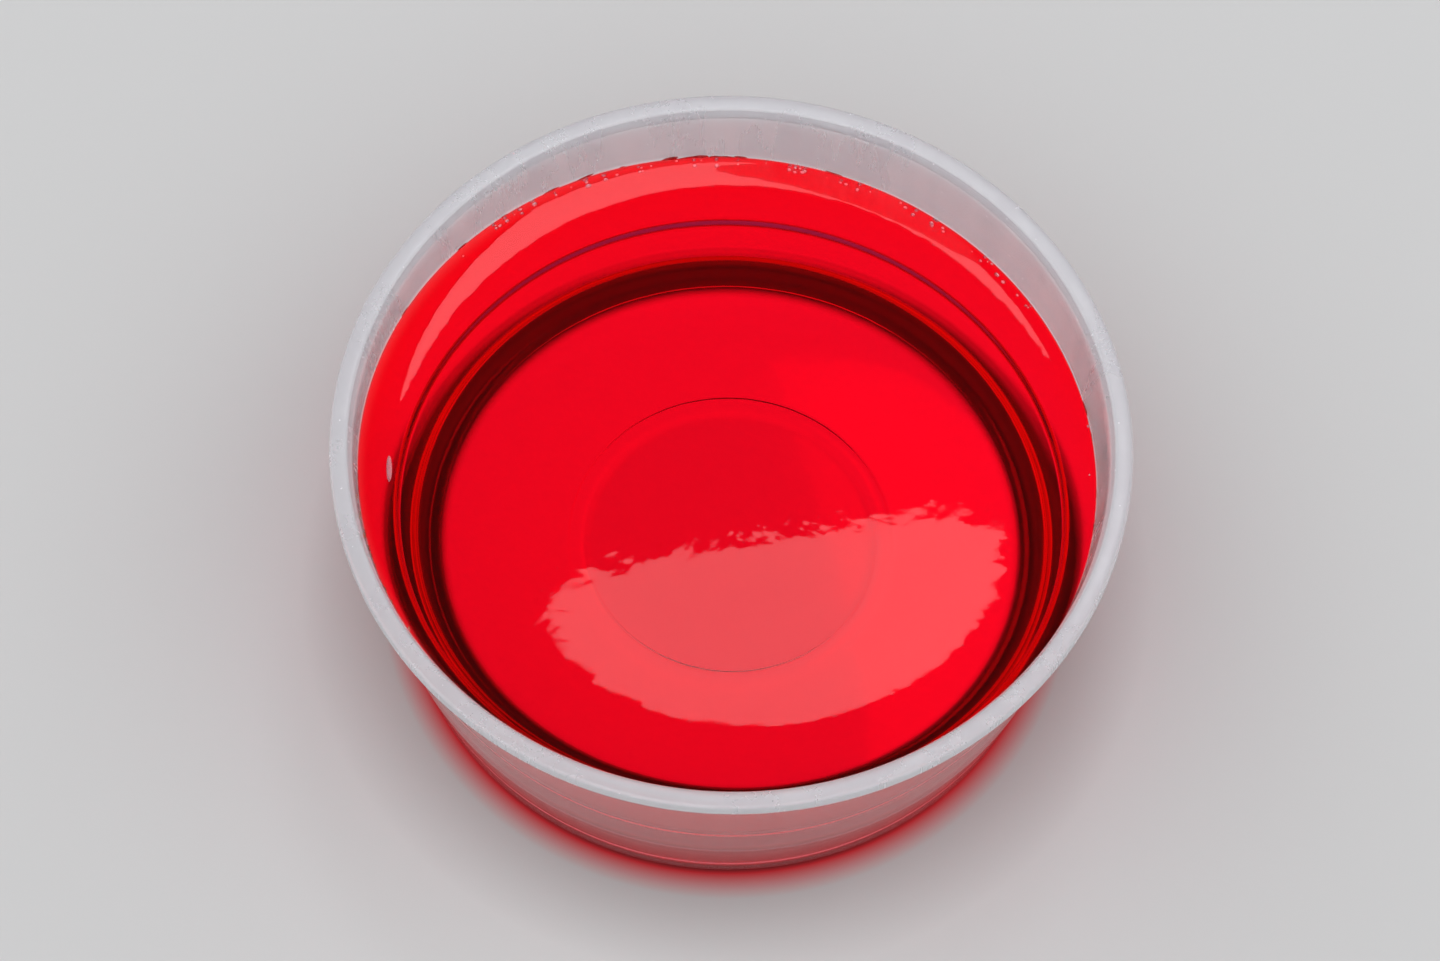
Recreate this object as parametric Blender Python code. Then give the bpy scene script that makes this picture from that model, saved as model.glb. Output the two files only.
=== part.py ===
"""A round clear plastic tub with a set jelly in it, as solids for the library.

Metres, +Z up. The tub stands on z = 0 with its axis on Z. The jelly fills it from the floor to a
level that lies a little aslant, because the jelly set while the tub stood on a slight slope.
"""
import math

import bmesh
import bpy
from mathutils import Vector

MM = 0.001

# Driving sizes.
HEIGHT = 47.0 * MM
RIM_OUTER_RADIUS = 59.0 * MM
RIM_INNER_RADIUS = 56.5 * MM
RIM_DROP = 2.4 * MM
RIM_ROUNDING = 0.5 * MM
SEAT_DEPTH = 1.4 * MM
SEAT_INNER_RADIUS = 55.7 * MM
WALL_TAPER = 0.14
WALL_THICKNESS = 0.75 * MM
LEDGE_HEIGHT = 14.7 * MM
LEDGE_STEP = 0.6 * MM
FLOOR_THICKNESS = 0.8 * MM
CORNER_INNER_RADIUS = 2.8 * MM
PANEL_RADIUS = 44.6 * MM
PANEL_RISE = 0.3 * MM
RING_INNER_RADIUS = 21.9 * MM
RING_OUTER_RADIUS = 25.0 * MM
RING_HEIGHT = 0.35 * MM
RAMP = 0.5 * MM
JELLY_LEVEL_BELOW_RIM = 9.4 * MM
JELLY_SLOPE_X = -0.042
JELLY_SLOPE_Y = -0.048
JELLY_GAP = 0.3 * MM

SEGMENTS = 92
ARC_STEPS = 4
MERGE_DISTANCE = 0.00001
SMOOTH_ANGLE = math.radians(35.0)

TUB_COLOUR = (0.84, 0.85, 0.86, 1.0)
TUB_ROUGHNESS = 0.18
TUB_ALPHA = 0.35
JELLY_COLOUR = (0.72, 0.0, 0.018, 1.0)
JELLY_ROUGHNESS = 0.06


def arc(centre, radius, start_degrees, end_degrees):
    """Points on a round stretch of a profile, as (radius, height) pairs."""
    points = []
    for step in range(ARC_STEPS + 1):
        share = step / ARC_STEPS
        angle = math.radians(start_degrees + share * (end_degrees - start_degrees))
        points.append((centre[0] + radius * math.cos(angle), centre[1] + radius * math.sin(angle)))
    return points


def wall_radius(height, below_ledge=False):
    """Radius of the tub's inner wall face at a height above the table."""
    radius = SEAT_INNER_RADIUS - WALL_TAPER * (HEIGHT - SEAT_DEPTH - height)
    return radius - LEDGE_STEP if below_ledge else radius


def side_profile(offset, corner_radius, floor_height):
    """Points down a side, from above its ledge through its round corner to the floor.

    offset is how far the side lies outside the tub's inner wall face, along its normal.
    """
    lean = math.atan(WALL_TAPER)
    sideways = offset / math.cos(lean)
    shoulder = LEDGE_HEIGHT - 0.5 * offset
    points = [
        (wall_radius(shoulder + RAMP) + sideways, shoulder + RAMP),
        (wall_radius(shoulder, below_ledge=True) + sideways, shoulder),
    ]
    centre_height = floor_height + corner_radius
    face_radius = wall_radius(centre_height, below_ledge=True) + sideways
    centre_radius = face_radius - corner_radius / math.cos(lean)
    points.extend(arc((centre_radius, centre_height), corner_radius, -math.degrees(lean), -90.0))
    return points


def floor_profile(floor_height):
    """Points across the tub's floor from its foot to the axis, on a face at that height."""
    panel = floor_height + PANEL_RISE
    ring = panel + RING_HEIGHT
    return [
        (PANEL_RADIUS + RAMP, floor_height),
        (PANEL_RADIUS, panel),
        (RING_OUTER_RADIUS, panel),
        (RING_OUTER_RADIUS - RAMP, ring),
        (RING_INNER_RADIUS + RAMP, ring),
        (RING_INNER_RADIUS, panel),
        (0.0, panel),
    ]


def tub_outer_profile():
    """Outer side of the tub, from the top of its rim down to the axis under its floor."""
    bead_radius = RIM_OUTER_RADIUS - RIM_ROUNDING
    skirt_bottom = HEIGHT - RIM_DROP
    skirt_chamfer = 0.3 * RIM_ROUNDING
    points = arc((bead_radius, HEIGHT - RIM_ROUNDING), RIM_ROUNDING, 90.0, 0.0)
    points.append((RIM_OUTER_RADIUS, skirt_bottom + skirt_chamfer))
    points.append((RIM_OUTER_RADIUS - skirt_chamfer, skirt_bottom))
    points.append((wall_radius(skirt_bottom) + WALL_THICKNESS, skirt_bottom))
    points.extend(side_profile(WALL_THICKNESS, CORNER_INNER_RADIUS + FLOOR_THICKNESS, 0.0))
    points.extend(floor_profile(0.0))
    return points


def tub_inner_profile():
    """Inner side of the tub, from the axis on its floor up to the top of its rim."""
    downwards = [(RIM_INNER_RADIUS, HEIGHT), (SEAT_INNER_RADIUS, HEIGHT - SEAT_DEPTH)]
    downwards.extend(side_profile(0.0, CORNER_INNER_RADIUS, FLOOR_THICKNESS))
    downwards.extend(floor_profile(FLOOR_THICKNESS))
    return list(reversed(downwards))


def jelly_profile():
    """Outline of a jelly that fills the tub to the rim, a gap clear of the tub all over."""
    points = [(0.0, HEIGHT), (wall_radius(HEIGHT) - JELLY_GAP, HEIGHT)]
    points.extend(
        side_profile(-JELLY_GAP, CORNER_INNER_RADIUS - JELLY_GAP, FLOOR_THICKNESS + JELLY_GAP)
    )
    points.extend(floor_profile(FLOOR_THICKNESS + JELLY_GAP))
    return points


def profile_edges(profile, closed):
    """Edges along a profile, leaving out a stretch that would lie on the axis."""
    edges = [(index, index + 1) for index in range(len(profile) - 1)]
    if closed:
        edges.append((len(profile) - 1, 0))
    return [(a, b) for a, b in edges if max(profile[a][0], profile[b][0]) > 0.0]


def turned_object(name, profile, closed):
    """Solid turned from a profile of (radius, height) pairs about the Z axis."""
    mesh = bpy.data.meshes.new(name)
    vertices = [(radius, 0.0, height) for radius, height in profile]
    mesh.from_pydata(vertices, profile_edges(profile, closed), [])
    turned = bpy.data.objects.new(name, mesh)
    bpy.context.scene.collection.objects.link(turned)
    screw = turned.modifiers.new("turn", "SCREW")
    screw.axis = "Z"
    screw.angle = math.tau
    screw.steps = SEGMENTS
    screw.render_steps = SEGMENTS
    screw.use_merge_vertices = True
    screw.merge_threshold = MERGE_DISTANCE
    return turned


def apply_modifiers(turned):
    """Replaces an object's mesh by what its modifiers make of it."""
    depsgraph = bpy.context.evaluated_depsgraph_get()
    finished = bpy.data.meshes.new_from_object(turned.evaluated_get(depsgraph))
    turned.modifiers.clear()
    turned.data = finished


def cut_to_level(turned):
    """Cuts a filled-up jelly down to its slanting level and closes its top."""
    level = HEIGHT - JELLY_LEVEL_BELOW_RIM
    normal = Vector((-JELLY_SLOPE_X, -JELLY_SLOPE_Y, 1.0)).normalized()
    solid = bmesh.new()
    solid.from_mesh(turned.data)
    geometry = solid.verts[:] + solid.edges[:] + solid.faces[:]
    cut = bmesh.ops.bisect_plane(
        solid, geom=geometry, plane_co=(0.0, 0.0, level), plane_no=normal, clear_outer=True
    )
    rim_edges = [item for item in cut["geom_cut"] if isinstance(item, bmesh.types.BMEdge)]
    bmesh.ops.holes_fill(solid, edges=rim_edges, sides=0)
    bmesh.ops.recalc_face_normals(solid, faces=solid.faces[:])
    solid.to_mesh(turned.data)
    solid.free()


def plastic(name, colour, roughness, alpha=1.0):
    """Principled material for one sub-part."""
    material = bpy.data.materials.new(name)
    material.use_nodes = True
    shader = material.node_tree.nodes["Principled BSDF"]
    shader.inputs["Base Color"].default_value = colour
    shader.inputs["Roughness"].default_value = roughness
    shader.inputs["Metallic"].default_value = 0.0
    shader.inputs["Alpha"].default_value = alpha
    return material


def finish(turned, material):
    """Gives a sub-part its material and its shading."""
    turned.data.materials.append(material)
    turned.data.shade_smooth()
    turned.data.set_sharp_from_angle(angle=SMOOTH_ANGLE)


def make_tub():
    """The tub: rim, lid seat, tapered wall with its ledge, round corner, foot and floor."""
    profile = tub_outer_profile() + tub_inner_profile()
    tub = turned_object("tub", profile, closed=True)
    apply_modifiers(tub)
    finish(tub, plastic("clear_tub", TUB_COLOUR, TUB_ROUGHNESS, TUB_ALPHA))


def make_jelly():
    """The jelly: the tub's inside up to the slanting level."""
    jelly = turned_object("jelly", jelly_profile(), closed=False)
    apply_modifiers(jelly)
    cut_to_level(jelly)
    finish(jelly, plastic("red_jelly", JELLY_COLOUR, JELLY_ROUGHNESS))


def main():
    for existing in list(bpy.data.objects):
        bpy.data.objects.remove(existing, do_unlink=True)
    make_tub()
    make_jelly()


if __name__ == "__main__":
    main()
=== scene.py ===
"""Looks of a clear red jelly that has set in its round, clear plastic tub.

Laid out as an add-on: its properties hold the sizes and colours, each operator makes one piece or
one group of like pieces, and the panel in the sidebar lists them. Metres, +Z up.
"""

import math
import random

import bpy
from bpy.props import FloatProperty, FloatVectorProperty, IntProperty, PointerProperty
from mathutils import Matrix, Vector


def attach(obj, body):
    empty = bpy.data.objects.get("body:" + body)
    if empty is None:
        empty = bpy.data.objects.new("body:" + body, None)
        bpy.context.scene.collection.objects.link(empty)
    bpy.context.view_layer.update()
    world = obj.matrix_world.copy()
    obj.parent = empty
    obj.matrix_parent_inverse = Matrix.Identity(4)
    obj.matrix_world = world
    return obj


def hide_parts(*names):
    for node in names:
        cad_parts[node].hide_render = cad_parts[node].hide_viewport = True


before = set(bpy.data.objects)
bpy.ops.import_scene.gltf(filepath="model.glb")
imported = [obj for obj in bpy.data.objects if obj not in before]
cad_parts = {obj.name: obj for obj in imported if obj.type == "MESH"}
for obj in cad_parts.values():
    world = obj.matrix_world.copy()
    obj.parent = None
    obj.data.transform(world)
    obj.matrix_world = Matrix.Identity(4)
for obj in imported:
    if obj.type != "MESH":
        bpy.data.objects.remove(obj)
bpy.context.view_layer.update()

bl_info = {
    "name": "Jelly in a clear tub",
    "version": (1, 0, 0),
    "blender": (4, 5, 0),
    "location": "View3D > Sidebar > Jelly tub",
    "description": "Builds a clear red jelly in its round plastic tub, on a plain stage",
    "category": "Object",
}

MM = 0.001
TOLERANCE = 0.000001
ARC_STEPS = 7
LEDGE_RAMP = 0.5 * MM
GRID_RADIUS = 11.0 * MM
RIM_ROUNDING = 0.5 * MM


# ---------------------------------------------------------------- properties


class TubSettings(bpy.types.PropertyGroup):
    """Sizes and finish of the plastic tub."""

    segments: IntProperty(name="Segments", description="Facets round the tub", default=576)
    height: FloatProperty(
        name="Height", description="Table to rim", default=47.0 * MM, subtype="DISTANCE"
    )
    rim_radius: FloatProperty(
        name="Rim radius", description="Outer edge of the rim", default=59.0 * MM, subtype="DISTANCE"
    )
    mouth_radius: FloatProperty(
        name="Mouth radius", description="Inner edge of the rim", default=56.5 * MM, subtype="DISTANCE"
    )
    rim_drop: FloatProperty(
        name="Rim drop", description="Depth of the rim's skirt", default=2.4 * MM, subtype="DISTANCE"
    )
    seat_radius: FloatProperty(
        name="Seat radius", description="Wall just under the lid's seat", default=55.7 * MM,
        subtype="DISTANCE",
    )
    seat_depth: FloatProperty(
        name="Seat depth", description="Rim to the lid's seat", default=1.4 * MM, subtype="DISTANCE"
    )
    taper: FloatProperty(
        name="Taper", description="Outward lean of the wall for its height", default=0.14,
        subtype="FACTOR",
    )
    wall: FloatProperty(
        name="Wall", description="Thickness of the wall", default=0.75 * MM, subtype="DISTANCE"
    )
    floor: FloatProperty(
        name="Floor", description="Thickness of the floor", default=0.8 * MM, subtype="DISTANCE"
    )
    ledge_height: FloatProperty(
        name="Ledge height", description="Stacking ledge above the table", default=14.7 * MM,
        subtype="DISTANCE",
    )
    ledge_step: FloatProperty(
        name="Ledge step", description="How far the wall steps in at the ledge", default=0.6 * MM,
        subtype="DISTANCE",
    )
    corner_radius: FloatProperty(
        name="Corner radius", description="Inner corner of wall and floor", default=2.8 * MM,
        subtype="DISTANCE",
    )
    panel_radius: FloatProperty(
        name="Panel radius", description="Raised middle of the floor", default=44.6 * MM,
        subtype="DISTANCE",
    )
    panel_rise: FloatProperty(
        name="Panel rise", description="How far the floor's middle stands clear of the table",
        default=0.3 * MM, subtype="DISTANCE",
    )
    ring_inner: FloatProperty(
        name="Ring inner radius", description="Inner edge of the moulded ring", default=21.9 * MM,
        subtype="DISTANCE",
    )
    ring_outer: FloatProperty(
        name="Ring outer radius", description="Outer edge of the moulded ring", default=25.0 * MM,
        subtype="DISTANCE",
    )
    ring_height: FloatProperty(
        name="Ring height", description="Rise of the moulded ring", default=0.35 * MM,
        subtype="DISTANCE",
    )
    colour: FloatVectorProperty(
        name="Colour", description="Tint of the plastic", default=(0.93, 0.94, 0.96), size=3,
        subtype="COLOR",
    )
    clearness: FloatProperty(
        name="Clearness", description="Share of light that passes through", default=0.80,
        subtype="FACTOR",
    )
    filled_clearness: FloatProperty(
        name="Filled clearness", description="The same where jelly lies behind", default=0.97,
        subtype="FACTOR",
    )
    rim_clearness: FloatProperty(
        name="Rim clearness", description="The same in the thicker, milkier rim", default=0.45,
        subtype="FACTOR",
    )


class JellySettings(bpy.types.PropertyGroup):
    """Level, surface and colour of the jelly."""

    segments: IntProperty(name="Segments", description="Facets round the jelly", default=480)
    depth_below_rim: FloatProperty(
        name="Depth below rim", description="Rim to the jelly's edge on the wall",
        default=8.3 * MM, subtype="DISTANCE",
    )
    slope_x: FloatProperty(
        name="Slope along X", description="Rise of the surface along X", default=-0.042
    )
    slope_y: FloatProperty(
        name="Slope along Y", description="Rise of the surface along Y", default=-0.048
    )
    reach: FloatProperty(
        name="Reach", description="How far the jelly reaches into the wall", default=0.05 * MM,
        subtype="DISTANCE",
    )
    edge_rise: FloatProperty(
        name="Edge rise", description="Height that the edge climbs up the wall", default=0.61 * MM,
        subtype="DISTANCE",
    )
    edge_width: FloatProperty(
        name="Edge width", description="Width over which the climb dies away", default=1.95 * MM,
        subtype="DISTANCE",
    )
    hollow: FloatProperty(
        name="Hollow", description="Sag of the surface inside its edge", default=0.88 * MM,
        subtype="DISTANCE",
    )
    hollow_power: FloatProperty(
        name="Hollow power", description="How near the edge the sag begins", default=7.25
    )
    lean_x: FloatProperty(
        name="Lean along X", description="How much deeper the sag is towards +X", default=-0.30
    )
    lean_y: FloatProperty(
        name="Lean along Y", description="How much deeper the sag is towards +Y", default=-0.34
    )
    ripple_height: FloatProperty(
        name="Ripple height", description="Height of the set surface's ripples",
        default=0.0075 * MM, subtype="DISTANCE",
    )
    ripple_size: FloatProperty(
        name="Ripple size", description="Spacing of the ripples", default=2.5 * MM,
        subtype="DISTANCE",
    )


class TraceSettings(bpy.types.PropertyGroup):
    """Bubbles along the jelly's edge and what the jelly left on the wall."""

    seed: IntProperty(name="Seed", description="Picks another scatter", default=4)
    bubbles: IntProperty(name="Bubbles", description="Bubbles along the edge", default=34)
    bubble_size: FloatProperty(
        name="Bubble size", description="Radius of the largest bubble", default=0.32 * MM,
        subtype="DISTANCE",
    )
    specks: IntProperty(name="Specks", description="Specks of foam on the top", default=22)
    smears: IntProperty(name="Smears", description="Films of jelly above its edge", default=46)
    smear_size: FloatProperty(
        name="Smear size", description="Half the width of the largest film", default=1.5 * MM,
        subtype="DISTANCE",
    )
    drops: IntProperty(name="Drops", description="Dried drops on the wall", default=13)


class StageSettings(bpy.types.PropertyGroup):
    """Floor, lights and camera."""

    floor_colour: FloatVectorProperty(
        name="Floor colour", description="Pale floor", default=(0.74, 0.74, 0.73), size=3,
        subtype="COLOR",
    )
    # Painted light: the floor is made lighter where the tub stands, to brighten the jelly from below.
    painted_light_under_tub: FloatVectorProperty(
        name="Painted light under the tub", description="Floor where the tub stands",
        default=(0.95, 0.95, 0.95), size=3, subtype="COLOR",
    )
    # Painted glow: the floor under the tub gives off light up into the jelly though it is no lamp.
    under_glow: FloatProperty(
        name="Glow under the tub", description="Light thrown up into the jelly", default=0.50
    )
    foot_shade: FloatVectorProperty(
        name="Shade at the foot", description="Floor under the foot", default=(0.10, 0.02, 0.02),
        size=3, subtype="COLOR",
    )
    # Painted light: the floor just outside the foot is coloured red in place of light that comes
    # through the jelly.
    painted_red_light_at_foot: FloatVectorProperty(
        name="Painted red light at the foot", description="Floor reddened by light through the jelly",
        default=(0.62, 0.03, 0.04), size=3, subtype="COLOR",
    )
    light_strength: FloatProperty(
        name="Light strength", description="Radiance of the soft light overhead", default=2.6
    )
    camera_distance: FloatProperty(
        name="Camera distance", description="Camera to the middle of the rim", default=730.4 * MM,
        subtype="DISTANCE",
    )
    camera_height: FloatProperty(
        name="Camera elevation", description="Angle of view above the horizon",
        default=math.radians(62.88), subtype="ANGLE",
    )
    camera_roll: FloatProperty(
        name="Camera roll", description="Lean of the camera", default=math.radians(1.92),
        subtype="ANGLE",
    )
    lens: FloatProperty(name="Lens", description="Focal length, mm", default=125.0)


# ---------------------------------------------------------------- profiles


def arc(centre, radius, start_degrees, end_degrees):
    """Points on a round stretch of a profile, as (radius, height) pairs."""
    points = []
    for step in range(ARC_STEPS + 1):
        share = step / ARC_STEPS
        angle = math.radians(start_degrees + share * (end_degrees - start_degrees))
        points.append((centre[0] + radius * math.cos(angle), centre[1] + radius * math.sin(angle)))
    return points


def wall_radius(tub, height, below_ledge=False):
    """Radius of the tub's inner wall face at a height above the table."""
    radius = tub.seat_radius - tub.taper * (tub.height - tub.seat_depth - height)
    return radius - tub.ledge_step if below_ledge else radius


def rounded(points, radius):
    """The same profile with each of its inner points cut back to a small arc."""
    softened = [points[0]]
    for before, here, after in zip(points, points[1:], points[2:]):
        here_v = Vector(here)
        back = Vector(before) - here_v
        ahead = Vector(after) - here_v
        reach = min(radius, 0.45 * back.length, 0.45 * ahead.length)
        start = here_v + back.normalized() * reach
        end = here_v + ahead.normalized() * reach
        for step in range(4):
            share = step / 3.0
            point = start.lerp(here_v, share).lerp(here_v.lerp(end, share), share)
            softened.append((point.x, point.y))
    softened.append(points[-1])
    return softened


def side_profile(tub, offset, corner_radius, floor_height):
    """Points down a side, from above its ledge through its round corner to the floor."""
    lean = math.atan(tub.taper)
    sideways = offset / math.cos(lean)
    shoulder = tub.ledge_height - 0.5 * offset
    top = shoulder + LEDGE_RAMP
    ledge = rounded(
        [
            (wall_radius(tub, top + 1.5 * MM) + sideways, top + 1.5 * MM),
            (wall_radius(tub, top) + sideways, top),
            (wall_radius(tub, shoulder, True) + sideways, shoulder),
            (wall_radius(tub, shoulder - 1.5 * MM, True) + sideways, shoulder - 1.5 * MM),
        ],
        0.3 * MM,
    )
    centre_height = floor_height + corner_radius
    face_radius = wall_radius(tub, centre_height, True) + sideways
    centre = (face_radius - corner_radius / math.cos(lean), centre_height)
    return ledge + arc(centre, corner_radius, -math.degrees(lean), -90.0)


def floor_profile(tub, floor_height):
    """Points across the floor from its foot to the axis, over the panel and the moulded ring."""
    panel = floor_height + tub.panel_rise
    ring = panel + tub.ring_height
    ramp = LEDGE_RAMP
    steps = rounded(
        [
            (tub.panel_radius + 2.0 * ramp, floor_height),
            (tub.panel_radius + ramp, floor_height),
            (tub.panel_radius, panel),
            (tub.panel_radius - ramp, panel),
        ],
        0.3 * MM,
    )
    steps += rounded(
        [
            (tub.ring_outer + ramp, panel),
            (tub.ring_outer, panel),
            (tub.ring_outer - ramp, ring),
            (tub.ring_inner + ramp, ring),
            (tub.ring_inner, panel),
            (tub.ring_inner - ramp, panel),
        ],
        0.3 * MM,
    )
    return steps + [(0.0, panel)]


def outer_profile(tub):
    """Outer side of the tub, from the inner edge of its rim down to the axis under its floor."""
    bead = tub.rim_radius - RIM_ROUNDING
    skirt_bottom = tub.height - tub.rim_drop
    points = arc((bead, tub.height - RIM_ROUNDING), RIM_ROUNDING, 90.0, 0.0)
    points += rounded(
        [
            (tub.rim_radius, skirt_bottom + 0.8 * MM),
            (tub.rim_radius, skirt_bottom),
            (wall_radius(tub, skirt_bottom) + tub.wall, skirt_bottom),
            (wall_radius(tub, skirt_bottom - 2.0 * MM) + tub.wall, skirt_bottom - 2.0 * MM),
        ],
        0.35 * MM,
    )
    points += side_profile(tub, tub.wall, tub.corner_radius + tub.floor, 0.0)
    return points + floor_profile(tub, 0.0)


def inner_profile(tub):
    """Inner side of the tub, from the axis on its floor up to the top of its rim."""
    seat_height = tub.height - tub.seat_depth
    downwards = rounded(
        [
            (tub.rim_radius - RIM_ROUNDING - 0.2 * MM, tub.height),
            (tub.mouth_radius, tub.height),
            (tub.seat_radius + 0.1 * MM, seat_height),
            (wall_radius(tub, seat_height - 2.0 * MM), seat_height - 2.0 * MM),
        ],
        0.35 * MM,
    )
    downwards += side_profile(tub, 0.0, tub.corner_radius, tub.floor)
    downwards += floor_profile(tub, tub.floor)
    return list(reversed(downwards))


def jelly_plane(tub, jelly):
    """A point and the normal of the plane in which the jelly meets the wall."""
    normal = Vector((-jelly.slope_x, -jelly.slope_y, 1.0)).normalized()
    return Vector((0.0, 0.0, tub.height - jelly.depth_below_rim)), normal


def top_height(tub, jelly, x, y):
    """Height of the jelly's sagging top, which curls up to its slanting plane at the wall."""
    plane = tub.height - jelly.depth_below_rim + jelly.slope_x * x + jelly.slope_y * y
    wall = wall_radius(tub, plane) + jelly.reach
    radius = math.hypot(x, y)
    inwards = max(wall - radius, 0.0)
    lean = 1.0 + (jelly.lean_x * x + jelly.lean_y * y) / wall
    climb = jelly.edge_rise * (1.0 - math.exp(-inwards / jelly.edge_width))
    sag = jelly.hollow * (1.0 - min(radius / wall, 1.0) ** jelly.hollow_power)
    return plane - lean * (climb + sag)


def jelly_profile(tub, reach):
    """Outline of a jelly that fills the tub to its rim and reaches just into its wall."""
    points = [(0.0, tub.height), (wall_radius(tub, tub.height) + reach, tub.height)]
    points += side_profile(tub, reach, tub.corner_radius + reach, tub.floor - reach)
    return points + floor_profile(tub, tub.floor - reach)


# ---------------------------------------------------------------- modelling helpers


def deselect_all():
    """Leaves edit mode with nothing selected."""
    if bpy.context.mode != "OBJECT":
        bpy.ops.object.mode_set(mode="OBJECT")
    bpy.ops.object.select_all(action="DESELECT")


def draw_profile(name, points):
    """Starts an object as one vertex and extrudes it along a profile in the XZ plane."""
    deselect_all()
    bpy.ops.mesh.primitive_circle_add(vertices=3, radius=MM, location=(0.0, 0.0, 0.0))
    piece = bpy.context.object
    piece.name = name
    piece.data.name = name
    bpy.ops.object.mode_set(mode="EDIT")
    bpy.ops.mesh.select_all(action="SELECT")
    bpy.ops.mesh.merge(type="CENTER")
    bpy.ops.transform.translate(value=(points[0][0], 0.0, points[0][1]))
    for (radius, height), (next_radius, next_height) in zip(points, points[1:]):
        move = (next_radius - radius, 0.0, next_height - height)
        bpy.ops.mesh.extrude_vertices_move(TRANSFORM_OT_translate={"value": move})
    return piece


def turn_profile(segments):
    """Turns the profile in edit mode about Z and closes its seam and its poles."""
    bpy.ops.mesh.select_all(action="SELECT")
    bpy.ops.mesh.spin(
        steps=segments, angle=math.tau, center=(0.0, 0.0, 0.0), axis=(0.0, 0.0, 1.0)
    )
    bpy.ops.mesh.select_all(action="SELECT")
    bpy.ops.mesh.remove_doubles(threshold=5.0 * TOLERANCE)
    bpy.ops.mesh.delete_loose()
    bpy.ops.mesh.select_all(action="SELECT")
    bpy.ops.mesh.normals_make_consistent(inside=False)


def shade(piece, degrees=40.0):
    """Smooth shading that keeps edges sharper than an angle."""
    deselect_all()
    piece.select_set(True)
    bpy.context.view_layer.objects.active = piece
    bpy.ops.object.shade_smooth_by_angle(angle=math.radians(degrees))


def hand_over(piece, material):
    """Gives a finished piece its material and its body."""
    piece.data.materials.clear()
    piece.data.materials.append(material)
    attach(piece, "root")


# ---------------------------------------------------------------- material helpers


def new_material(name):
    """Empty node material with its output, its tree and its Principled shader."""
    material = bpy.data.materials.new(name)
    material.use_nodes = True
    tree = material.node_tree
    return material, tree, tree.nodes["Principled BSDF"]


def node(tree, kind, **inputs):
    """Adds a node and sets the inputs that are named."""
    made = tree.nodes.new(kind)
    for socket, value in inputs.items():
        made.inputs[socket.replace("_", " ")].default_value = value
    return made


def plastic_marks(tub):
    """Group: flow streaks down the moulded wall, haze patches, fine scuffs and dust."""
    group = bpy.data.node_groups.new("plastic_marks", "ShaderNodeTree")
    for name, kind in (
        ("Base Color", "NodeSocketColor"), ("Roughness", "NodeSocketFloat"),
        ("Height", "NodeSocketFloat"),
    ):
        group.interface.new_socket(name, in_out="OUTPUT", socket_type=kind)
    place = group.nodes.new("ShaderNodeTexCoord")
    stretch = group.nodes.new("ShaderNodeMapping")
    stretch.inputs["Scale"].default_value = (1.0, 1.0, 0.06)
    streaks = node(group, "ShaderNodeTexNoise", Scale=260.0, Detail=5.0, Roughness=0.62)
    haze = node(group, "ShaderNodeTexNoise", Scale=45.0, Detail=3.0, Roughness=0.5)
    scuffs = node(group, "ShaderNodeTexNoise", Scale=1100.0, Detail=4.0, Roughness=0.65)
    dust = node(group, "ShaderNodeTexVoronoi", Scale=420.0)
    group.links.new(place.outputs["Object"], stretch.inputs["Vector"])
    group.links.new(stretch.outputs["Vector"], streaks.inputs["Vector"])
    for texture in (haze, scuffs, dust):
        group.links.new(place.outputs["Object"], texture.inputs["Vector"])
    speck = node(group, "ShaderNodeMapRange", From_Min=0.02, From_Max=0.05)
    speck.inputs["To Min"].default_value = 1.0
    speck.inputs["To Max"].default_value = 0.0
    group.links.new(dust.outputs["Distance"], speck.inputs["Value"])
    tint = group.nodes.new("ShaderNodeMix")
    tint.data_type = "RGBA"
    tint.inputs[6].default_value = (*tub.colour, 1.0)
    tint.inputs[7].default_value = (0.86, 0.84, 0.88, 1.0)
    group.links.new(streaks.outputs["Fac"], tint.inputs["Factor"])
    rough = node(group, "ShaderNodeMath")
    rough.operation = "MULTIPLY"
    spread = node(group, "ShaderNodeMapRange", From_Min=0.1, From_Max=0.3, To_Min=0.07)
    spread.inputs["To Max"].default_value = 0.30
    final = node(group, "ShaderNodeMath")
    final.operation = "MULTIPLY_ADD"
    final.inputs[1].default_value = 0.4
    height = node(group, "ShaderNodeMath")
    height.operation = "MULTIPLY_ADD"
    height.inputs[1].default_value = 0.35
    group.links.new(streaks.outputs["Fac"], rough.inputs[0])
    group.links.new(haze.outputs["Fac"], rough.inputs[1])
    group.links.new(rough.outputs["Value"], spread.inputs["Value"])
    group.links.new(speck.outputs["Result"], final.inputs[0])
    group.links.new(spread.outputs["Result"], final.inputs[2])
    group.links.new(scuffs.outputs["Fac"], height.inputs[0])
    group.links.new(streaks.outputs["Fac"], height.inputs[2])
    result = group.nodes.new("NodeGroupOutput")
    group.links.new(tint.outputs[2], result.inputs["Base Color"])
    group.links.new(final.outputs["Value"], result.inputs["Roughness"])
    group.links.new(height.outputs["Value"], result.inputs["Height"])
    return group


def plastic_material(name, marks, clearness, bump_strength):
    """Moulded plastic that lets part of the light through and carries the shared marks."""
    material, tree, shader = new_material(name)
    shader.inputs["IOR"].default_value = 1.49
    shader.inputs["Transmission Weight"].default_value = clearness
    wear = tree.nodes.new("ShaderNodeGroup")
    wear.node_tree = marks
    bump = node(tree, "ShaderNodeBump", Strength=bump_strength, Distance=0.05 * MM)
    tree.links.new(wear.outputs["Base Color"], shader.inputs["Base Color"])
    tree.links.new(wear.outputs["Roughness"], shader.inputs["Roughness"])
    tree.links.new(wear.outputs["Height"], bump.inputs["Height"])
    tree.links.new(bump.outputs["Normal"], shader.inputs["Normal"])
    return material


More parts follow.
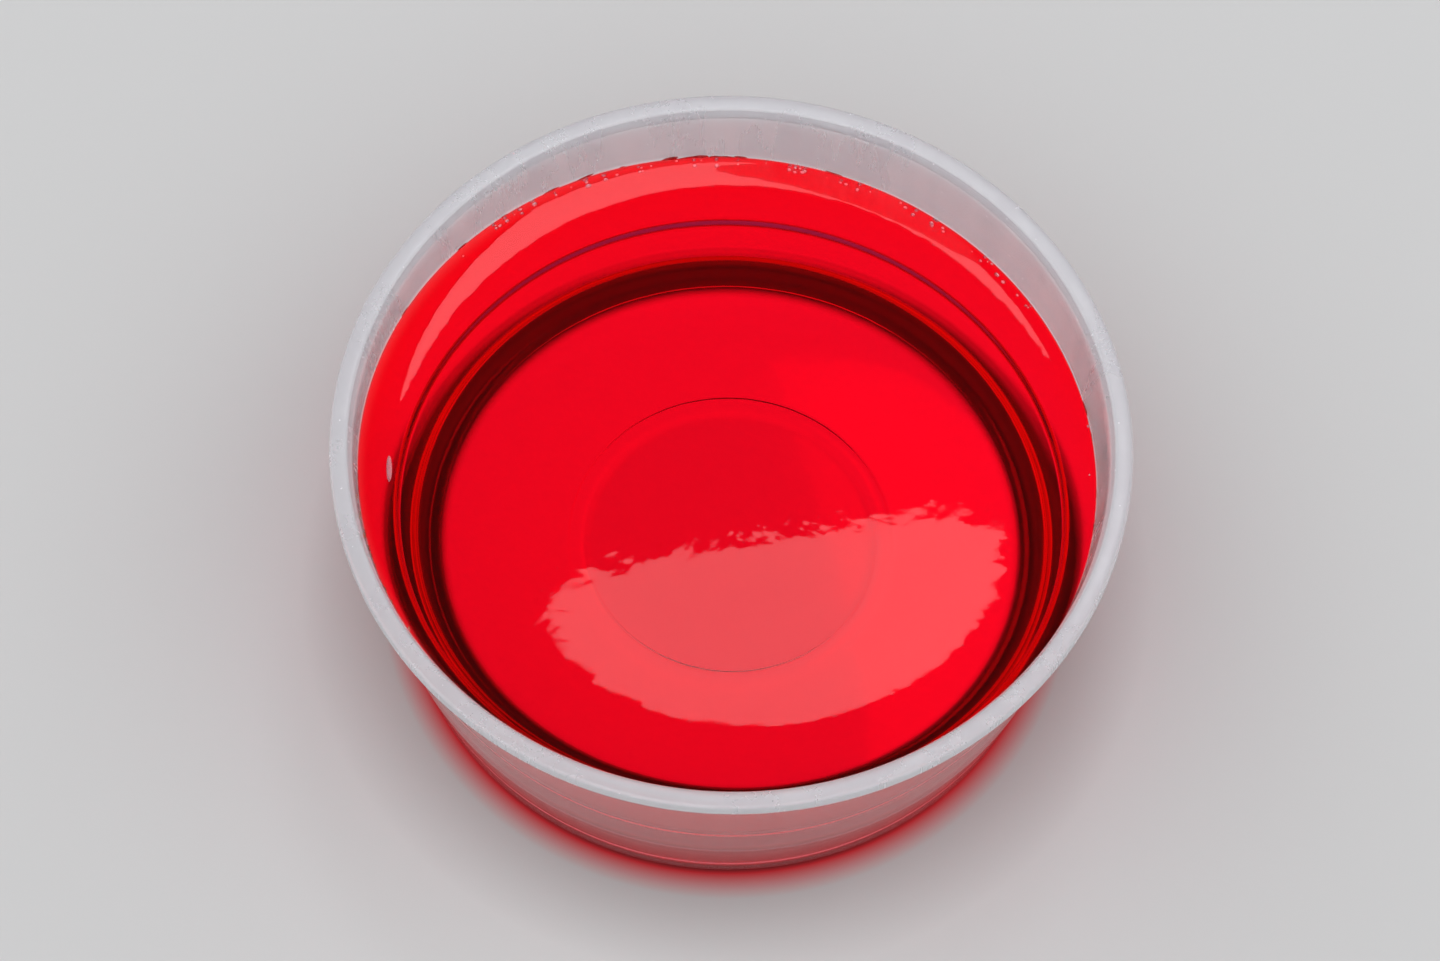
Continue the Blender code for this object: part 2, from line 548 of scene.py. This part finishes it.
def filled_wall_material(tub, marks):
    """The same plastic where jelly lies behind it: its gloss lies over the jelly's own bending."""
    material = plastic_material("clear_plastic_on_jelly", marks, tub.filled_clearness, 0.04)
    shader = material.node_tree.nodes["Principled BSDF"]
    material.node_tree.links.remove(shader.inputs["Roughness"].links[0])
    shader.inputs["Roughness"].default_value = 0.05
    shader.inputs["IOR"].default_value = 1.01
    shader.inputs["Coat Weight"].default_value = 1.0
    shader.inputs["Coat IOR"].default_value = 1.49
    shader.inputs["Coat Roughness"].default_value = 0.1
    return material


def wetted_wall_material():
    """The tub's inner face under the jelly, which lets everything through unbent."""
    material, tree, shader = new_material("wetted_plastic")
    shader.inputs["Alpha"].default_value = 0.0
    return material


def jelly_material():
    """Clear red jelly: a wet surface over a body that swallows green and most blue."""
    material, tree, shader = new_material("red_jelly")
    shader.inputs["Base Color"].default_value = (1.0, 1.0, 1.0, 1.0)
    shader.inputs["Roughness"].default_value = 0.0
    shader.inputs["IOR"].default_value = 1.36
    shader.inputs["Transmission Weight"].default_value = 1.0
    place = tree.nodes.new("ShaderNodeTexCoord")
    grain = node(tree, "ShaderNodeTexNoise", Scale=700.0, Detail=3.0, Roughness=0.5)
    bump = node(tree, "ShaderNodeBump", Strength=1.0, Distance=0.0022 * MM)
    tree.links.new(place.outputs["Object"], grain.inputs["Vector"])
    tree.links.new(grain.outputs["Fac"], bump.inputs["Height"])
    tree.links.new(bump.outputs["Normal"], shader.inputs["Normal"])
    body = tree.nodes.new("ShaderNodeVolumeAbsorption")
    body.inputs["Color"].default_value = (0.998, 0.0, 0.50, 1.0)
    body.inputs["Density"].default_value = 150.0
    output = tree.nodes["Material Output"]
    tree.links.new(body.outputs["Volume"], output.inputs["Volume"])
    return material


def bubble_material():
    """Air shut in the jelly: bends light the other way round and mirrors at its edge."""
    material, tree, shader = new_material("air_bubble")
    shader.inputs["Base Color"].default_value = (1.0, 0.97, 0.97, 1.0)
    shader.inputs["IOR"].default_value = 0.74
    shader.inputs["Transmission Weight"].default_value = 0.8
    place = tree.nodes.new("ShaderNodeTexCoord")
    film = node(tree, "ShaderNodeTexNoise", Scale=2500.0, Detail=2.0)
    rough = node(tree, "ShaderNodeMapRange", To_Min=0.02, To_Max=0.12)
    tree.links.new(place.outputs["Object"], film.inputs["Vector"])
    tree.links.new(film.outputs["Fac"], rough.inputs["Value"])
    tree.links.new(rough.outputs["Result"], shader.inputs["Roughness"])
    return material


def trace_material(name, colour, thick_colour, clearness):
    """Thin jelly left on the wall: paler and tan where it is thin, red where it is thick."""
    material, tree, shader = new_material(name)
    shader.inputs["IOR"].default_value = 1.36
    shader.inputs["Transmission Weight"].default_value = clearness
    place = tree.nodes.new("ShaderNodeTexCoord")
    blotch = node(tree, "ShaderNodeTexNoise", Scale=900.0, Detail=4.0, Roughness=0.6)
    share = node(tree, "ShaderNodeMapRange", From_Min=0.35, From_Max=0.65)
    mix = tree.nodes.new("ShaderNodeMix")
    mix.data_type = "RGBA"
    mix.inputs[6].default_value = (*colour, 1.0)
    mix.inputs[7].default_value = (*thick_colour, 1.0)
    rough = node(tree, "ShaderNodeMapRange", To_Min=0.1, To_Max=0.4)
    bump = node(tree, "ShaderNodeBump", Strength=0.5, Distance=0.03 * MM)
    tree.links.new(place.outputs["Object"], blotch.inputs["Vector"])
    tree.links.new(blotch.outputs["Fac"], share.inputs["Value"])
    tree.links.new(blotch.outputs["Fac"], rough.inputs["Value"])
    tree.links.new(blotch.outputs["Fac"], bump.inputs["Height"])
    tree.links.new(share.outputs["Result"], mix.inputs["Factor"])
    tree.links.new(mix.outputs[2], shader.inputs["Base Color"])
    tree.links.new(rough.outputs["Result"], shader.inputs["Roughness"])
    tree.links.new(bump.outputs["Normal"], shader.inputs["Normal"])
    return material


def floor_material(stage):
    """Plain pale floor with painted light and shade round the tub: painted lighter where the tub
    stands on it, a little less so inside the moulded ring, with a painted glow thrown up into the
    jelly, a painted dark shade under the foot and a painted red light just outside it, fading out
    through painted shade to the plain floor.
    """
    material, tree, shader = new_material("pale_floor")
    shader.inputs["Roughness"].default_value = 0.75
    shader.inputs["Specular IOR Level"].default_value = 0.2
    place = tree.nodes.new("ShaderNodeTexCoord")
    flat = node(tree, "ShaderNodeVectorMath")
    flat.operation = "MULTIPLY"
    flat.inputs[1].default_value = (1.0, 1.0, 0.0)
    distance = tree.nodes.new("ShaderNodeVectorMath")
    distance.operation = "LENGTH"
    share = node(tree, "ShaderNodeMapRange", From_Min=0.0, From_Max=80.0 * MM)
    colour = tree.nodes.new("ShaderNodeValToRGB")
    middle = [0.80 * value for value in stage.painted_light_under_tub]
    # Painted light and shade by radius: painted light under the tub, a little less inside the moulded
    # ring, a painted dark shade under the foot, a painted red light just outside it, then painted
    # shade fading out to the plain floor.
    stops = (
        (0.0, middle),
        (21.6, middle),
        (22.4, stage.painted_light_under_tub),
        (44.0, stage.painted_light_under_tub),
        (45.2, stage.foot_shade),
        (48.6, stage.foot_shade),
        (49.4, stage.painted_red_light_at_foot),
        (53.5, [0.75 * value for value in stage.floor_colour]),
        (66.0, stage.floor_colour),
    )
    ramp = colour.color_ramp
    while len(ramp.elements) < len(stops):
        ramp.elements.new(0.5)
    for element, (radius, value) in zip(ramp.elements, stops):
        element.position = radius / 80.0
        element.color = (*value, 1.0)
    # Painted glow: the floor under the tub gives off light up into the jelly though it is no lamp.
    glow = node(tree, "ShaderNodeMapRange", From_Min=43.4 * MM, From_Max=45.2 * MM)
    glow.inputs["To Min"].default_value = stage.under_glow
    glow.inputs["To Max"].default_value = 0.0
    shader.inputs["Emission Color"].default_value = (1.0, 0.5, 0.4, 1.0)
    weave = node(tree, "ShaderNodeTexNoise", Scale=900.0, Detail=3.0)
    bump = node(tree, "ShaderNodeBump", Strength=0.15, Distance=0.1 * MM)
    tree.links.new(place.outputs["Object"], flat.inputs[0])
    tree.links.new(place.outputs["Object"], weave.inputs["Vector"])
    tree.links.new(flat.outputs["Vector"], distance.inputs[0])
    tree.links.new(distance.outputs["Value"], share.inputs["Value"])
    tree.links.new(distance.outputs["Value"], glow.inputs["Value"])
    tree.links.new(share.outputs["Result"], colour.inputs["Fac"])
    tree.links.new(colour.outputs["Color"], shader.inputs["Base Color"])
    tree.links.new(glow.outputs["Result"], shader.inputs["Emission Strength"])
    tree.links.new(weave.outputs["Fac"], bump.inputs["Height"])
    tree.links.new(bump.outputs["Normal"], shader.inputs["Normal"])
    return material


# ---------------------------------------------------------------- operators


class JELLYTUB_OT_make_tub(bpy.types.Operator):
    """Turns the tub's rim, seat, wall, ledge, corner, foot and floor as one thin shell"""

    bl_idname = "jelly_tub.make_tub"
    bl_label = "Make the tub"
    bl_options = {"REGISTER", "UNDO"}

    def execute(self, context):
        tub = context.scene.jelly_tub_tub
        piece = draw_profile("plastic_tub", outer_profile(tub) + inner_profile(tub)[:-1])
        close_profile(piece)
        turn_profile(tub.segments)
        jelly = context.scene.jelly_tub_jelly
        level, slope = jelly_plane(tub, jelly)
        bpy.ops.mesh.select_all(action="SELECT")
        bpy.ops.mesh.bisect(plane_co=level, plane_no=slope)
        shade(piece, 50.0)
        marks = plastic_marks(tub)
        hand_over(piece, plastic_material("clear_plastic", marks, tub.clearness, 0.05))
        piece.data.materials.append(filled_wall_material(tub, marks))
        piece.data.materials.append(wetted_wall_material())
        rim = plastic_material("milky_rim", marks, tub.rim_clearness, 0.02)
        piece.data.materials.append(rim)
        self.sort_faces(piece, tub, level, slope)
        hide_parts("tub")
        return {"FINISHED"}

    def sort_faces(self, piece, tub, level, slope):
        """Tells the rim's faces and those with jelly behind or on them from the dry ones."""
        skirt_bottom = tub.height - tub.rim_drop
        for face in piece.data.polygons:
            radius = math.hypot(face.center.x, face.center.y)
            if (face.center - level).dot(slope) > 0.0:
                on_rim = face.center.z > skirt_bottom - TOLERANCE
                on_rim = on_rim and radius > tub.mouth_radius - 0.15 * MM
                face.material_index = 3 if on_rim else 0
                continue
            outwards = Vector((face.center.x, face.center.y, 0.0)).normalized()
            faces_out = face.normal.dot(outwards) - face.normal.z > 0.0
            face.material_index = 1 if faces_out else 2


def close_profile(piece):
    """Joins the last point of a profile in edit mode to its first one."""
    bpy.ops.mesh.select_mode(type="VERT")
    bpy.ops.mesh.select_all(action="DESELECT")
    bpy.ops.object.mode_set(mode="OBJECT")
    piece.data.vertices[0].select = True
    piece.data.vertices[-1].select = True
    bpy.ops.object.mode_set(mode="EDIT")
    bpy.ops.mesh.edge_face_add()


class JELLYTUB_OT_make_jelly(bpy.types.Operator):
    """Turns the jelly, cuts it to its slanting level and shapes its curled, faintly rippled top"""

    bl_idname = "jelly_tub.make_jelly"
    bl_label = "Make the jelly"
    bl_options = {"REGISTER", "UNDO"}

    def execute(self, context):
        tub = context.scene.jelly_tub_tub
        jelly = context.scene.jelly_tub_jelly
        piece = draw_profile("red_jelly", jelly_profile(tub, jelly.reach))
        turn_profile(jelly.segments)
        level, slope = jelly_plane(tub, jelly)
        bpy.ops.mesh.select_all(action="SELECT")
        bpy.ops.mesh.bisect(plane_co=level, plane_no=slope, use_fill=True, clear_outer=True)
        self.grid_top(piece, tub, slope, level.z)
        self.sag_top(piece, tub, jelly, level, slope)
        self.ripple_top(piece, jelly)
        shade(piece, 60.0)
        hand_over(piece, jelly_material())
        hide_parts("jelly")
        return {"FINISHED"}

    def grid_top(self, piece, tub, slope, level):
        """Insets the cut face ring by ring and fills its middle with a grid."""
        bpy.ops.mesh.select_all(action="DESELECT")
        bpy.ops.object.mode_set(mode="OBJECT")
        top = max(piece.data.polygons, key=lambda face: len(face.vertices))
        if top.normal.dot(slope) < 0.99:
            raise RuntimeError("the jelly's cut face was not found")
        for face in piece.data.polygons:
            face.select = face.index == top.index
        bpy.ops.object.mode_set(mode="EDIT")
        bpy.ops.mesh.select_mode(type="FACE")
        left = wall_radius(tub, level)
        step = 0.1 * MM
        while left > GRID_RADIUS:
            bpy.ops.mesh.inset(thickness=step, depth=0.0, use_even_offset=True)
            left -= step
            step = min(step * 1.08, 0.6 * MM)
        bpy.ops.mesh.delete(type="ONLY_FACE")
        bpy.ops.mesh.select_mode(type="EDGE")
        bpy.ops.mesh.select_all(action="DESELECT")
        bpy.ops.mesh.select_non_manifold(extend=False)
        bpy.ops.mesh.fill_grid(span=120)
        bpy.ops.object.mode_set(mode="OBJECT")

    def sag_top(self, piece, tub, jelly, level, slope):
        """Lowers the flat cut's vertices to the sagging surface that curls up at the wall."""
        group = piece.vertex_groups.new(name="top")
        for vertex in piece.data.vertices:
            if abs((vertex.co - level).dot(slope)) > 10.0 * TOLERANCE:
                continue
            radius = math.hypot(vertex.co.x, vertex.co.y)
            if wall_radius(tub, vertex.co.z) + jelly.reach - radius < 5.0 * TOLERANCE:
                continue
            vertex.co.z = top_height(tub, jelly, vertex.co.x, vertex.co.y)
            group.add([vertex.index], 1.0, "REPLACE")

    def ripple_top(self, piece, jelly):
        """Lets the top's inner points rise and fall a few thousandths of a millimetre."""
        texture = bpy.data.textures.new("jelly_ripples", "CLOUDS")
        texture.noise_scale = jelly.ripple_size
        texture.noise_depth = 2
        deselect_all()
        piece.select_set(True)
        bpy.context.view_layer.objects.active = piece
        ripple = piece.modifiers.new("ripples", "DISPLACE")
        ripple.texture = texture
        ripple.texture_coords = "LOCAL"
        ripple.direction = "Z"
        ripple.mid_level = 0.5
        ripple.strength = jelly.ripple_height
        ripple.vertex_group = "top"
        bpy.ops.object.modifier_apply(modifier=ripple.name)


def start_traces(name):
    """Starts an empty mesh object at the origin and goes into its edit mode."""
    deselect_all()
    bpy.ops.mesh.primitive_uv_sphere_add(segments=8, ring_count=4, radius=MM)
    piece = bpy.context.object
    piece.name = name
    piece.data.name = name
    bpy.ops.object.mode_set(mode="EDIT")
    bpy.ops.mesh.select_all(action="SELECT")
    bpy.ops.mesh.delete(type="VERT")
    return piece


def add_blob(size, radius, azimuth, height, lean=0.0):
    """Adds one flattened ball: thin outwards, wide along the wall, upright, at an azimuth."""
    bpy.ops.mesh.select_all(action="DESELECT")
    bpy.ops.mesh.primitive_uv_sphere_add(
        segments=20, ring_count=12, radius=1.0, location=(0.0, 0.0, 0.0)
    )
    bpy.ops.transform.resize(value=size, center_override=(0.0, 0.0, 0.0))
    bpy.ops.transform.rotate(value=lean, orient_axis="X", center_override=(0.0, 0.0, 0.0))
    bpy.ops.transform.translate(value=(radius, 0.0, height))
    bpy.ops.transform.rotate(value=-azimuth, orient_axis="Z", center_override=(0.0, 0.0, 0.0))


def edge_height(tub, jelly, azimuth):
    """Height at which the jelly meets the wall at an azimuth."""
    level = tub.height - jelly.depth_below_rim
    radius = wall_radius(tub, level)
    across = jelly.slope_x * math.cos(azimuth) + jelly.slope_y * math.sin(azimuth)
    return level + radius * across


class JELLYTUB_OT_make_bubbles(bpy.types.Operator):
    """Scatters small bubbles along the jelly's edge"""

    bl_idname = "jelly_tub.make_bubbles"
    bl_label = "Make the bubbles"
    bl_options = {"REGISTER", "UNDO"}

    def execute(self, context):
        tub = context.scene.jelly_tub_tub
        jelly = context.scene.jelly_tub_jelly
        traces = context.scene.jelly_tub_traces
        chance = random.Random(traces.seed)
        piece = start_traces("bubbles")
        for index in range(traces.bubbles):
            azimuth = math.radians(chance.gauss(78.0, 42.0))
            height = edge_height(tub, jelly, azimuth) - chance.uniform(0.5, 1.6) * MM
            size = traces.bubble_size * chance.uniform(0.35, 1.0) ** 1.5
            radius = wall_radius(tub, height) - chance.uniform(1.1, 2.4) * size
            add_blob((size, size * chance.uniform(1.0, 1.6), size), radius, azimuth, height)
        bpy.ops.object.mode_set(mode="OBJECT")
        shade(piece, 80.0)
        hand_over(piece, bubble_material())
        return {"FINISHED"}


class JELLYTUB_OT_make_foam(bpy.types.Operator):
    """Lays one long pale streak and a few specks of foam on the jelly's top near the wall"""

    bl_idname = "jelly_tub.make_foam"
    bl_label = "Make the foam"
    bl_options = {"REGISTER", "UNDO"}

    def execute(self, context):
        tub = context.scene.jelly_tub_tub
        jelly = context.scene.jelly_tub_jelly
        traces = context.scene.jelly_tub_traces
        chance = random.Random(traces.seed + 3)
        piece = start_traces("foam")
        # The long streak is a pale flat blob laid on the top near the left wall.
        self.lay(tub, jelly, 183.6, 50.5 * MM, 0.42 * MM, 2.2 * MM)
        for index in range(traces.specks):
            azimuth = chance.gauss(85.0, 50.0)
            size = chance.uniform(0.10, 0.24) * MM
            self.lay(tub, jelly, azimuth, chance.uniform(53.2, 54.3) * MM, size, size * 1.4)
        bpy.ops.object.mode_set(mode="OBJECT")
        shade(piece, 80.0)
        material = trace_material("pale_foam", (1.0, 0.58, 0.64), (1.0, 0.35, 0.40), 0.5)
        hand_over(piece, material)
        return {"FINISHED"}

    def lay(self, tub, jelly, degrees, radius, across, along):
        azimuth = math.radians(degrees)
        x, y = radius * math.cos(azimuth), radius * math.sin(azimuth)
        height = top_height(tub, jelly, x, y)
        add_blob((across, along, 0.09 * MM), radius, azimuth, height + 0.01 * MM)


class JELLYTUB_OT_make_smears(bpy.types.Operator):
    """Leaves ragged films of jelly on the wall just above its edge"""

    bl_idname = "jelly_tub.make_smears"
    bl_label = "Make the smears"
    bl_options = {"REGISTER", "UNDO"}

    def execute(self, context):
        tub = context.scene.jelly_tub_tub
        jelly = context.scene.jelly_tub_jelly
        traces = context.scene.jelly_tub_traces
        chance = random.Random(traces.seed + 1)
        piece = start_traces("smears")
        for index in range(traces.smears):
            middle = (-26.0, 205.0, 100.0)[index % 3]
            azimuth = math.radians(chance.gauss(middle, 16.0))
            width = traces.smear_size * chance.uniform(0.3, 1.0)
            tall = width * chance.uniform(0.15, 0.4)
            height = edge_height(tub, jelly, azimuth) + 0.5 * tall
            radius = wall_radius(tub, height) - 0.02 * MM
            add_blob((0.06 * MM, width, tall), radius, azimuth, height, chance.uniform(-0.2, 0.2))
        bpy.ops.object.mode_set(mode="OBJECT")
        shade(piece, 80.0)
        material = trace_material("jelly_film", (0.85, 0.12, 0.10), (0.60, 0.01, 0.02), 0.7)
        hand_over(piece, material)
        return {"FINISHED"}


class JELLYTUB_OT_make_drops(bpy.types.Operator):
    """Leaves a few dried tan drops and runs high on the wall at the left"""

    bl_idname = "jelly_tub.make_drops"
    bl_label = "Make the drops"
    bl_options = {"REGISTER", "UNDO"}

    def execute(self, context):
        tub = context.scene.jelly_tub_tub
        jelly = context.scene.jelly_tub_jelly
        traces = context.scene.jelly_tub_traces
        chance = random.Random(traces.seed + 2)
        piece = start_traces("drops")
        for index in range(traces.drops):
            azimuth = math.radians(chance.gauss(203.0, 7.0))
            width = chance.uniform(0.18, 0.5) * MM
            tall = width * chance.uniform(1.0, 3.2)
            height = edge_height(tub, jelly, azimuth) + chance.uniform(0.8, 5.5) * MM
            radius = wall_radius(tub, height) - 0.03 * MM
            add_blob((0.08 * MM, width, tall), radius, azimuth, height, chance.uniform(-0.3, 0.3))
        bpy.ops.object.mode_set(mode="OBJECT")
        shade(piece, 80.0)
        material = trace_material("dried_drop", (0.80, 0.42, 0.22), (0.72, 0.14, 0.08), 0.55)
        hand_over(piece, material)
        return {"FINISHED"}


class JELLYTUB_OT_make_stage(bpy.types.Operator):
    """Adds the pale floor, the soft lights and the camera"""

    bl_idname = "jelly_tub.make_stage"
    bl_label = "Make the stage"
    bl_options = {"REGISTER", "UNDO"}

    def execute(self, context):
        stage = context.scene.jelly_tub_stage
        self.make_floor(stage)
        self.make_lights(context, stage)
        self.make_camera(context, stage)
        context.scene.view_settings.view_transform = "Standard"
        return {"FINISHED"}

    def make_floor(self, stage):
        deselect_all()
        bpy.ops.mesh.primitive_plane_add(size=4.0, location=(0.0, 0.0, 0.0))
        floor = bpy.context.object
        floor.name = "floor"
        bpy.ops.object.mode_set(mode="EDIT")
        bpy.ops.mesh.select_all(action="SELECT")
        bpy.ops.transform.translate(value=(0.0, 0.0, -0.05 * MM))
        bpy.ops.object.mode_set(mode="OBJECT")
        floor.data.materials.append(floor_material(stage))

    def make_lights(self, context, stage):
        lamp = bpy.data.lights.new("overhead", "AREA")
        lamp.shape = "RECTANGLE"
        lamp.size = 0.175
        lamp.size_y = 0.281
        lamp.color = (1.0, 0.93, 1.0)
        lamp.energy = 4.0 * stage.light_strength * lamp.size * lamp.size_y
        light = bpy.data.objects.new("overhead", lamp)
        light.location = (0.110, 0.400, 0.951)
        light.rotation_euler = (0.0, 0.0, math.radians(15.5))
        context.scene.collection.objects.link(light)
        context.scene.world = self.studio_world()

    def studio_world(self):
        """Even, pale surroundings with one darker stretch beyond the tub."""
        world = bpy.data.worlds.new("studio")
        world.use_nodes = True
        tree = world.node_tree
        background = tree.nodes["Background"]
        place = tree.nodes.new("ShaderNodeTexCoord")
        along = tree.nodes.new("ShaderNodeVectorMath")
        along.operation = "DOT_PRODUCT"
        elevation = math.radians(46.0)
        along.inputs[1].default_value = (0.1, math.cos(elevation), math.sin(elevation))
        stretch = node(tree, "ShaderNodeMapRange", From_Min=0.72, From_Max=0.92)
        stretch.interpolation_type = "SMOOTHSTEP"
        stretch.inputs["To Min"].default_value = 1.0
        stretch.inputs["To Max"].default_value = 0.05
        height = tree.nodes.new("ShaderNodeSeparateXYZ")
        dome = node(tree, "ShaderNodeMapRange", From_Min=0.0, From_Max=0.75, To_Min=0.38)
        dome.inputs["To Max"].default_value = 1.25
        level = tree.nodes.new("ShaderNodeMath")
        level.operation = "MULTIPLY"
        background.inputs["Color"].default_value = (0.97, 0.98, 1.0, 1.0)
        tree.links.new(place.outputs["Generated"], along.inputs[0])
        tree.links.new(place.outputs["Generated"], height.inputs[0])
        tree.links.new(along.outputs["Value"], stretch.inputs["Value"])
        tree.links.new(height.outputs["Z"], dome.inputs["Value"])
        tree.links.new(stretch.outputs["Result"], level.inputs[0])
        tree.links.new(dome.outputs["Result"], level.inputs[1])
        tree.links.new(level.outputs["Value"], background.inputs["Strength"])
        return world

    def make_camera(self, context, stage):
        camera_data = bpy.data.cameras.new("camera")
        camera_data.lens = stage.lens
        camera = bpy.data.objects.new("camera", camera_data)
        elevation = stage.camera_height
        forward = Vector((0.0, math.cos(elevation), -math.sin(elevation)))
        right = Vector((1.0, 0.0, 0.0))
        up = right.cross(forward)
        roll = stage.camera_roll
        across = math.cos(roll) * right + math.sin(roll) * up
        upright = -math.sin(roll) * right + math.cos(roll) * up
        aim = Vector((-1.5 * MM, -7.0 * MM, 47.0 * MM))
        place = aim - stage.camera_distance * forward
        turn = Matrix((across, upright, -forward)).transposed().to_4x4()
        camera.matrix_world = Matrix.Translation(place) @ turn
        context.scene.collection.objects.link(camera)
        context.scene.camera = camera


class JELLYTUB_PT_build(bpy.types.Panel):
    """Lists the pieces"""

    bl_idname = "JELLYTUB_PT_build"
    bl_label = "Jelly in a clear tub"
    bl_space_type = "VIEW_3D"
    bl_region_type = "UI"
    bl_category = "Jelly tub"

    def draw(self, context):
        for settings, operator in PANEL_ROWS:
            box = self.layout.box()
            box.operator(operator)
            values = getattr(context.scene, settings)
            for name in values.__annotations__:
                box.prop(values, name)


PANEL_ROWS = (
    ("jelly_tub_tub", "jelly_tub.make_tub"),
    ("jelly_tub_jelly", "jelly_tub.make_jelly"),
    ("jelly_tub_traces", "jelly_tub.make_bubbles"),
    ("jelly_tub_traces", "jelly_tub.make_foam"),
    ("jelly_tub_traces", "jelly_tub.make_smears"),
    ("jelly_tub_traces", "jelly_tub.make_drops"),
    ("jelly_tub_stage", "jelly_tub.make_stage"),
)
SETTINGS = {
    "jelly_tub_tub": TubSettings,
    "jelly_tub_jelly": JellySettings,
    "jelly_tub_traces": TraceSettings,
    "jelly_tub_stage": StageSettings,
}
CLASSES = (
    TubSettings,
    JellySettings,
    TraceSettings,
    StageSettings,
    JELLYTUB_OT_make_tub,
    JELLYTUB_OT_make_jelly,
    JELLYTUB_OT_make_bubbles,
    JELLYTUB_OT_make_foam,
    JELLYTUB_OT_make_smears,
    JELLYTUB_OT_make_drops,
    JELLYTUB_OT_make_stage,
    JELLYTUB_PT_build,
)


def register():
    for item in CLASSES:
        bpy.utils.register_class(item)
    for name, group in SETTINGS.items():
        setattr(bpy.types.Scene, name, PointerProperty(type=group))


def unregister():
    for name in SETTINGS:
        delattr(bpy.types.Scene, name)
    for item in reversed(CLASSES):
        bpy.utils.unregister_class(item)


def main():
    """Registers the add-on and makes every piece in order."""
    register()
    bpy.ops.jelly_tub.make_tub()
    bpy.ops.jelly_tub.make_jelly()
    bpy.ops.jelly_tub.make_bubbles()
    bpy.ops.jelly_tub.make_foam()
    bpy.ops.jelly_tub.make_smears()
    bpy.ops.jelly_tub.make_drops()
    bpy.ops.jelly_tub.make_stage()


if __name__ == "__main__":
    main()
